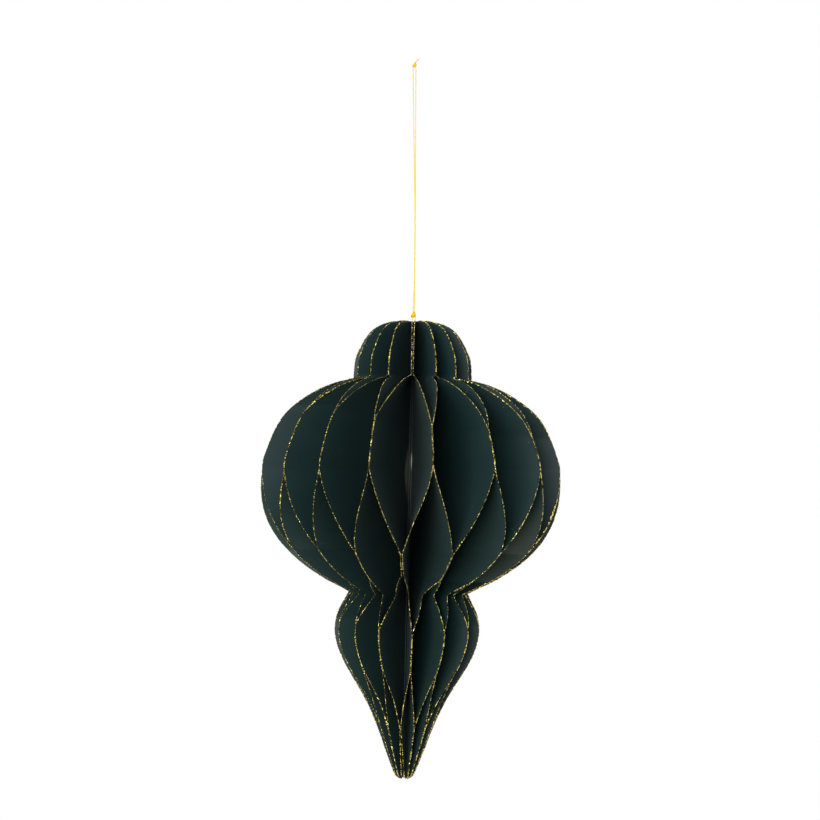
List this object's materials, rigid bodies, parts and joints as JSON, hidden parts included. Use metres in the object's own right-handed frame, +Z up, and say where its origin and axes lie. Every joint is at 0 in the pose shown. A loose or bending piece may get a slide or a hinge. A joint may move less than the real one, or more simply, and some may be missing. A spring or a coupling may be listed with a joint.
{
  "type": "paper honeycomb ball",
  "caption": "Hanging paper honeycomb ornament with a domed cap, a wide bulb and a tapering finial, glittered at its edges; it folds flat like a fan.",
  "frame": {"origin": "the inside of the thread loop's top, where a hook or nail carries the ornament", "axes": "+Z up along the spine, -Y towards the viewer, +X to the viewer's right; the two end leaves meet 5 degrees to the viewer's left of the front"},
  "size_m": [0.1998, 0.1996, 0.4804],
  "materials": {
    "leaf_paper": "matte, dark green-black, gold glitter along the cut edge",
    "spine_paper": "matte cream",
    "gold_thread": "metallised gold thread",
    "magnet": "nickel-plated"
  },
  "bodies": {
    "spine": {"spine_strip": "spine_paper", "strand_left": "gold_thread", "strand_right": "gold_thread", "top_knot": "gold_thread", "stop_knot": "gold_thread", "hanging_thread": "gold_thread", "loop_knot": "gold_thread", "loop_end_left": "gold_thread", "loop_end_right": "gold_thread"},
    "leaf_01_body": {"leaf_01": "leaf_paper", "magnet_upper_first": "magnet", "magnet_lower_first": "magnet"},
    "leaf_02_body": {"leaf_02": "leaf_paper"},
    "leaf_03_body": {"leaf_03": "leaf_paper"},
    "leaf_04_body": {"leaf_04": "leaf_paper"},
    "leaf_05_body": {"leaf_05": "leaf_paper"},
    "leaf_06_body": {"leaf_06": "leaf_paper"},
    "leaf_07_body": {"leaf_07": "leaf_paper"},
    "leaf_08_body": {"leaf_08": "leaf_paper"},
    "leaf_09_body": {"leaf_09": "leaf_paper"},
    "leaf_10_body": {"leaf_10": "leaf_paper"},
    "leaf_11_body": {"leaf_11": "leaf_paper"},
    "leaf_12_body": {"leaf_12": "leaf_paper"},
    "leaf_13_body": {"leaf_13": "leaf_paper"},
    "leaf_14_body": {"leaf_14": "leaf_paper"},
    "leaf_15_body": {"leaf_15": "leaf_paper"},
    "leaf_16_body": {"leaf_16": "leaf_paper"},
    "leaf_17_body": {"leaf_17": "leaf_paper"},
    "leaf_18_body": {"leaf_18": "leaf_paper"},
    "leaf_19_body": {"leaf_19": "leaf_paper"},
    "leaf_20_body": {"leaf_20": "leaf_paper"},
    "leaf_21_body": {"leaf_21": "leaf_paper"},
    "leaf_22_body": {"leaf_22": "leaf_paper"},
    "leaf_23_body": {"leaf_23": "leaf_paper"},
    "leaf_24_body": {"leaf_24": "leaf_paper"},
    "leaf_25_body": {"leaf_25": "leaf_paper"},
    "leaf_26_body": {"leaf_26": "leaf_paper"},
    "leaf_27_body": {"leaf_27": "leaf_paper"},
    "leaf_28_body": {"leaf_28": "leaf_paper"},
    "leaf_29_body": {"leaf_29": "leaf_paper"},
    "leaf_30_body": {"leaf_30": "leaf_paper"},
    "leaf_31_body": {"leaf_31": "leaf_paper"},
    "leaf_32_body": {"leaf_32": "leaf_paper", "magnet_upper_last": "magnet", "magnet_lower_last": "magnet"}
  },
  "joints": [
    {"name": "fold_leaf_01", "type": "hinge", "parent": "spine", "child": "leaf_01_body", "pos_m": [0.00201, -0.00203, -0.17], "axis": [0, 0, 1], "range_deg": [0, 84.39], "deforming": ["leaf_01"]},
    {"name": "fold_leaf_02", "type": "hinge", "parent": "spine", "child": "leaf_02_body", "pos_m": [0.00215, -0.00178, -0.17], "axis": [0, 0, 1], "range_deg": [0, 73.14], "deforming": ["leaf_02"]},
    {"name": "fold_leaf_03", "type": "hinge", "parent": "spine", "child": "leaf_03_body", "pos_m": [0.00227, -0.00153, -0.17], "axis": [0, 0, 1], "range_deg": [0, 61.88], "deforming": ["leaf_03"]},
    {"name": "fold_leaf_04", "type": "hinge", "parent": "spine", "child": "leaf_04_body", "pos_m": [0.00237, -0.00129, -0.17], "axis": [0, 0, 1], "range_deg": [0, 50.63], "deforming": ["leaf_04"]},
    {"name": "fold_leaf_05", "type": "hinge", "parent": "spine", "child": "leaf_05_body", "pos_m": [0.00245, -0.00104, -0.17], "axis": [0, 0, 1], "range_deg": [0, 39.38], "deforming": ["leaf_05"]},
    {"name": "fold_leaf_06", "type": "hinge", "parent": "spine", "child": "leaf_06_body", "pos_m": [0.00252, -0.00079, -0.17], "axis": [0, 0, 1], "range_deg": [0, 28.14], "deforming": ["leaf_06"]},
    {"name": "fold_leaf_07", "type": "hinge", "parent": "spine", "child": "leaf_07_body", "pos_m": [0.00256, -0.00054, -0.17], "axis": [0, 0, 1], "range_deg": [0, 16.89], "deforming": ["leaf_07"]},
    {"name": "fold_leaf_08", "type": "hinge", "parent": "spine", "child": "leaf_08_body", "pos_m": [0.0026, -0.00029, -0.17], "axis": [0, 0, 1], "range_deg": [0, 5.63], "deforming": ["leaf_08"]},
    {"name": "fold_leaf_09", "type": "hinge", "parent": "spine", "child": "leaf_09_body", "pos_m": [0.00261, -0.00004, -0.17], "axis": [0, 0, 1], "range_deg": [-5.63, 0], "deforming": ["leaf_09"]},
    {"name": "fold_leaf_10", "type": "hinge", "parent": "spine", "child": "leaf_10_body", "pos_m": [0.00261, 0.00021, -0.17], "axis": [0, 0, 1], "range_deg": [-16.89, 0], "deforming": ["leaf_10"]},
    {"name": "fold_leaf_11", "type": "hinge", "parent": "spine", "child": "leaf_11_body", "pos_m": [0.0026, 0.00047, -0.17], "axis": [0, 0, 1], "range_deg": [-28.14, 0], "deforming": ["leaf_11"]},
    {"name": "fold_leaf_12", "type": "hinge", "parent": "spine", "child": "leaf_12_body", "pos_m": [0.00257, 0.00073, -0.17], "axis": [0, 0, 1], "range_deg": [-39.38, 0], "deforming": ["leaf_12"]},
    {"name": "fold_leaf_13", "type": "hinge", "parent": "spine", "child": "leaf_13_body", "pos_m": [0.00252, 0.00098, -0.17], "axis": [0, 0, 1], "range_deg": [-50.63, 0], "deforming": ["leaf_13"]},
    {"name": "fold_leaf_14", "type": "hinge", "parent": "spine", "child": "leaf_14_body", "pos_m": [0.00245, 0.00124, -0.17], "axis": [0, 0, 1], "range_deg": [-61.88, 0], "deforming": ["leaf_14"]},
    {"name": "fold_leaf_15", "type": "hinge", "parent": "spine", "child": "leaf_15_body", "pos_m": [0.00237, 0.0015, -0.17], "axis": [0, 0, 1], "range_deg": [-73.14, 0], "deforming": ["leaf_15"]},
    {"name": "fold_leaf_16", "type": "hinge", "parent": "spine", "child": "leaf_16_body", "pos_m": [0.00226, 0.00176, -0.17], "axis": [0, 0, 1], "range_deg": [-84.39, 0], "deforming": ["leaf_16"]},
    {"name": "fold_leaf_17", "type": "hinge", "parent": "spine", "child": "leaf_17_body", "pos_m": [0.00214, 0.00203, -0.17], "axis": [0, 0, 1], "range_deg": [-95.64, 0], "deforming": ["leaf_17"]},
    {"name": "fold_leaf_18", "type": "hinge", "parent": "spine", "child": "leaf_18_body", "pos_m": [0.00199, 0.00229, -0.17], "axis": [0, 0, 1], "range_deg": [-106.89, 0], "deforming": ["leaf_18"]},
    {"name": "fold_leaf_19", "type": "hinge", "parent": "spine", "child": "leaf_19_body", "pos_m": [0.00182, 0.00256, -0.17], "axis": [0, 0, 1], "range_deg": [-118.14, 0], "deforming": ["leaf_19"]},
    {"name": "fold_leaf_20", "type": "hinge", "parent": "spine", "child": "leaf_20_body", "pos_m": [0.00163, 0.00283, -0.17], "axis": [0, 0, 1], "range_deg": [-129.38, 0], "deforming": ["leaf_20"]},
    {"name": "fold_leaf_21", "type": "hinge", "parent": "spine", "child": "leaf_21_body", "pos_m": [0.00141, 0.00311, -0.17], "axis": [0, 0, 1], "range_deg": [-140.63, 0], "deforming": ["leaf_21"]},
    {"name": "fold_leaf_22", "type": "hinge", "parent": "spine", "child": "leaf_22_body", "pos_m": [0.00115, 0.00338, -0.17], "axis": [0, 0, 1], "range_deg": [-151.88, 0], "deforming": ["leaf_22"]},
    {"name": "fold_leaf_23", "type": "hinge", "parent": "spine", "child": "leaf_23_body", "pos_m": [0.00087, 0.00366, -0.17], "axis": [0, 0, 1], "range_deg": [-163.13, 0], "deforming": ["leaf_23"]},
    {"name": "fold_leaf_24", "type": "hinge", "parent": "spine", "child": "leaf_24_body", "pos_m": [0.00054, 0.00395, -0.17], "axis": [0, 0, 1], "range_deg": [-174.38, 0], "deforming": ["leaf_24"]},
    {"name": "fold_leaf_25", "type": "hinge", "parent": "spine", "child": "leaf_25_body", "pos_m": [0.00017, 0.00424, -0.17], "axis": [0, 0, 1], "range_deg": [-185.63, 0], "deforming": ["leaf_25"]},
    {"name": "fold_leaf_26", "type": "hinge", "parent": "spine", "child": "leaf_26_body", "pos_m": [-0.00026, 0.00454, -0.17], "axis": [0, 0, 1], "range_deg": [-196.88, 0], "deforming": ["leaf_26"]},
    {"name": "fold_leaf_27", "type": "hinge", "parent": "spine", "child": "leaf_27_body", "pos_m": [-0.00075, 0.00484, -0.17], "axis": [0, 0, 1], "range_deg": [-208.13, 0], "deforming": ["leaf_27"]},
    {"name": "fold_leaf_28", "type": "hinge", "parent": "spine", "child": "leaf_28_body", "pos_m": [-0.00132, 0.00515, -0.17], "axis": [0, 0, 1], "range_deg": [-219.38, 0], "deforming": ["leaf_28"]},
    {"name": "fold_leaf_29", "type": "hinge", "parent": "spine", "child": "leaf_29_body", "pos_m": [-0.00198, 0.00547, -0.17], "axis": [0, 0, 1], "range_deg": [-230.63, 0], "deforming": ["leaf_29"]},
    {"name": "fold_leaf_30", "type": "hinge", "parent": "spine", "child": "leaf_30_body", "pos_m": [-0.00277, 0.00581, -0.17], "axis": [0, 0, 1], "range_deg": [-241.88, 0], "deforming": ["leaf_30"]},
    {"name": "fold_leaf_31", "type": "hinge", "parent": "spine", "child": "leaf_31_body", "pos_m": [-0.0037, 0.00616, -0.17], "axis": [0, 0, 1], "range_deg": [-253.13, 0], "deforming": ["leaf_31"]},
    {"name": "fold_leaf_32", "type": "hinge", "parent": "spine", "child": "leaf_32_body", "pos_m": [-0.00484, 0.00654, -0.17], "axis": [0, 0, 1], "range_deg": [-264.38, 0], "deforming": ["leaf_32"]}
  ],
  "couplings": [
    {"joint": "fold_leaf_01", "follows": "fold_leaf_32", "ratio": -0.31915},
    {"joint": "fold_leaf_02", "follows": "fold_leaf_32", "ratio": -0.2766},
    {"joint": "fold_leaf_03", "follows": "fold_leaf_32", "ratio": -0.23404},
    {"joint": "fold_leaf_04", "follows": "fold_leaf_32", "ratio": -0.19149},
    {"joint": "fold_leaf_05", "follows": "fold_leaf_32", "ratio": -0.14894},
    {"joint": "fold_leaf_06", "follows": "fold_leaf_32", "ratio": -0.10638},
    {"joint": "fold_leaf_07", "follows": "fold_leaf_32", "ratio": -0.06383},
    {"joint": "fold_leaf_08", "follows": "fold_leaf_32", "ratio": -0.021277},
    {"joint": "fold_leaf_09", "follows": "fold_leaf_32", "ratio": 0.021277},
    {"joint": "fold_leaf_10", "follows": "fold_leaf_32", "ratio": 0.06383},
    {"joint": "fold_leaf_11", "follows": "fold_leaf_32", "ratio": 0.10638},
    {"joint": "fold_leaf_12", "follows": "fold_leaf_32", "ratio": 0.14894},
    {"joint": "fold_leaf_13", "follows": "fold_leaf_32", "ratio": 0.19149},
    {"joint": "fold_leaf_14", "follows": "fold_leaf_32", "ratio": 0.23404},
    {"joint": "fold_leaf_15", "follows": "fold_leaf_32", "ratio": 0.2766},
    {"joint": "fold_leaf_16", "follows": "fold_leaf_32", "ratio": 0.31915},
    {"joint": "fold_leaf_17", "follows": "fold_leaf_32", "ratio": 0.3617},
    {"joint": "fold_leaf_18", "follows": "fold_leaf_32", "ratio": 0.40426},
    {"joint": "fold_leaf_19", "follows": "fold_leaf_32", "ratio": 0.44681},
    {"joint": "fold_leaf_20", "follows": "fold_leaf_32", "ratio": 0.48936},
    {"joint": "fold_leaf_21", "follows": "fold_leaf_32", "ratio": 0.53191},
    {"joint": "fold_leaf_22", "follows": "fold_leaf_32", "ratio": 0.57447},
    {"joint": "fold_leaf_23", "follows": "fold_leaf_32", "ratio": 0.61702},
    {"joint": "fold_leaf_24", "follows": "fold_leaf_32", "ratio": 0.65957},
    {"joint": "fold_leaf_25", "follows": "fold_leaf_32", "ratio": 0.70213},
    {"joint": "fold_leaf_26", "follows": "fold_leaf_32", "ratio": 0.74468},
    {"joint": "fold_leaf_27", "follows": "fold_leaf_32", "ratio": 0.78723},
    {"joint": "fold_leaf_28", "follows": "fold_leaf_32", "ratio": 0.82979},
    {"joint": "fold_leaf_29", "follows": "fold_leaf_32", "ratio": 0.87234},
    {"joint": "fold_leaf_30", "follows": "fold_leaf_32", "ratio": 0.91489},
    {"joint": "fold_leaf_31", "follows": "fold_leaf_32", "ratio": 0.95745}
  ]
}
